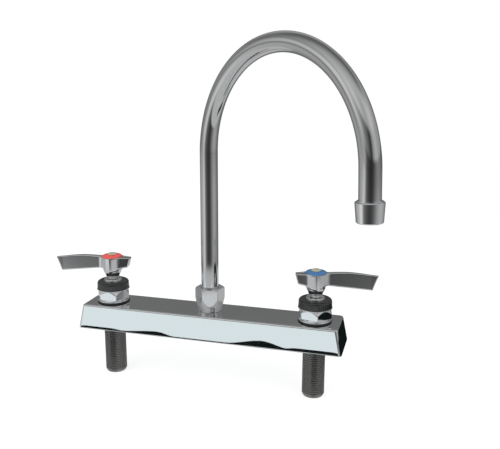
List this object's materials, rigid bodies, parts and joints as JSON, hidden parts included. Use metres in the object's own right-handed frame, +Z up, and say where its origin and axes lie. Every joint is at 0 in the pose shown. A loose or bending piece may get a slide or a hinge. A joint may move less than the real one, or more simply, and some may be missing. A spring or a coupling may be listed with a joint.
{
  "type": "deck-mount faucet",
  "caption": "Deck-mount kitchen faucet: a long cast base with hot and cold lever valves, a swinging gooseneck spout with an aerator, and threaded supply shanks below the deck.",
  "frame": {"origin": "on the underside of the cast base, where it meets the deck, on the axis of the spout's riser", "axes": "+X along the base towards the cold valve, -Y towards the user, +Z up"},
  "size_m": [0.324, 0.1397, 0.3262],
  "materials": {
    "chrome_casting": "polished",
    "chrome_trim": "polished",
    "chrome_tube": "polished",
    "dark_pipe": "satin",
    "bare_brass": "satin",
    "seal_rubber": "matte",
    "valve_ceramic": "satin",
    "black_plastic": "satin",
    "white_plastic": "satin",
    "hot_red": "gloss",
    "cold_blue": "gloss",
    "screw_steel": "satin",
    "screen_steel": "satin"
  },
  "bodies": {
    "body": {"faucet_body": "chrome_casting", "hot_shank": "dark_pipe", "cold_shank": "dark_pipe", "hot_seat_seal": "seal_rubber", "cold_seat_seal": "seal_rubber", "hot_fixed_disc": "valve_ceramic", "cold_fixed_disc": "valve_ceramic", "hot_cartridge": "chrome_trim", "cold_cartridge": "chrome_trim", "hot_cartridge_oring": "seal_rubber", "cold_cartridge_oring": "seal_rubber", "hot_base_gasket": "seal_rubber", "cold_base_gasket": "seal_rubber", "hot_base_ring": "chrome_trim", "cold_base_ring": "chrome_trim", "hot_bonnet": "chrome_trim", "cold_bonnet": "chrome_trim", "hot_bonnet_oring": "seal_rubber", "cold_bonnet_oring": "seal_rubber", "hot_bonnet_cap": "black_plastic", "cold_bonnet_cap": "black_plastic", "hot_lock_ring": "chrome_trim", "cold_lock_ring": "chrome_trim", "spout_glide_ring": "white_plastic", "spout_nut": "chrome_trim"},
    "hot_handle": {"hot_moving_disc": "valve_ceramic", "hot_stem": "bare_brass", "hot_stem_orings": "seal_rubber", "hot_lever": "chrome_casting", "hot_index_ring": "hot_red", "hot_lever_screw": "screw_steel"},
    "cold_handle": {"cold_moving_disc": "valve_ceramic", "cold_stem": "bare_brass", "cold_stem_orings": "seal_rubber", "cold_lever": "chrome_casting", "cold_index_ring": "cold_blue", "cold_lever_screw": "screw_steel"},
    "spout": {"spout_bush": "bare_brass", "spout_bush_orings": "seal_rubber", "spout_tube": "chrome_tube", "outlet_collar": "chrome_trim", "aerator_shell": "chrome_trim", "aerator_washer": "seal_rubber", "aerator_straightener": "white_plastic", "aerator_screen": "screen_steel"}
  },
  "joints": [
    {"name": "hot_handle_turn", "type": "hinge", "parent": "body", "child": "hot_handle", "pos_m": [-0.1016, 0, 0.05], "axis": [0, 0, 1], "range_deg": [0, 90]},
    {"name": "cold_handle_turn", "type": "hinge", "parent": "body", "child": "cold_handle", "pos_m": [0.1016, 0, 0.05], "axis": [0, 0, 1], "range_deg": [-90, 0]},
    {"name": "spout_swivel", "type": "hinge", "parent": "body", "child": "spout", "pos_m": [0, 0, 0.02], "axis": [0, 0, 1], "continuous": true}
  ]
}
